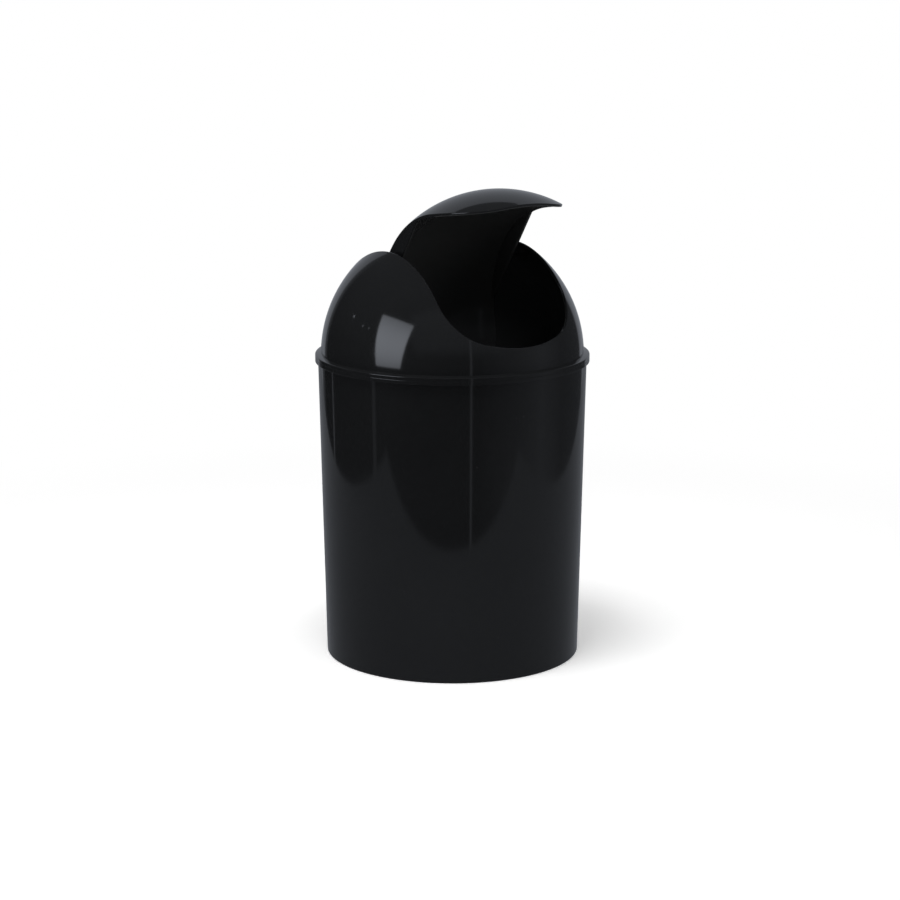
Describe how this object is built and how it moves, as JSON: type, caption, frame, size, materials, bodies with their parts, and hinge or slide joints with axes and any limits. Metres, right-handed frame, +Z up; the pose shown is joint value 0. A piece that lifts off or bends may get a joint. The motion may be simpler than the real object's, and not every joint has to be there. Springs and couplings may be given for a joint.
{
  "type": "countertop trash can with swing lid",
  "caption": "Tapered round countertop trash can with a domed lift-off lid and a swinging flap between its ears.",
  "frame": {"origin": "centre of the can's underside, on the surface it stands on", "axes": "+Z up along the can's axis, -Y out of the front of the mouth, +X to the right as seen from the front"},
  "size_m": [0.19, 0.19, 0.331],
  "materials": {
    "body_plastic": "polished black, injection moulded",
    "lid_plastic": "polished black, injection moulded",
    "flap_plastic": "polished black, injection moulded"
  },
  "bodies": {
    "can": {"bin_body": "body_plastic"},
    "lid": {"dome_lid": "lid_plastic"},
    "flap": {"swing_flap": "flap_plastic"}
  },
  "joints": [
    {"name": "lid_lift", "type": "slide", "parent": "can", "child": "lid", "axis": [0, 0, 1], "range_m": [0, 0.08]},
    {"name": "flap_swing", "type": "hinge", "parent": "lid", "child": "flap", "pos_m": [0, 0, 0.27977], "axis": [-1, 0, 0], "range_deg": [-170.5, 59.5]}
  ]
}
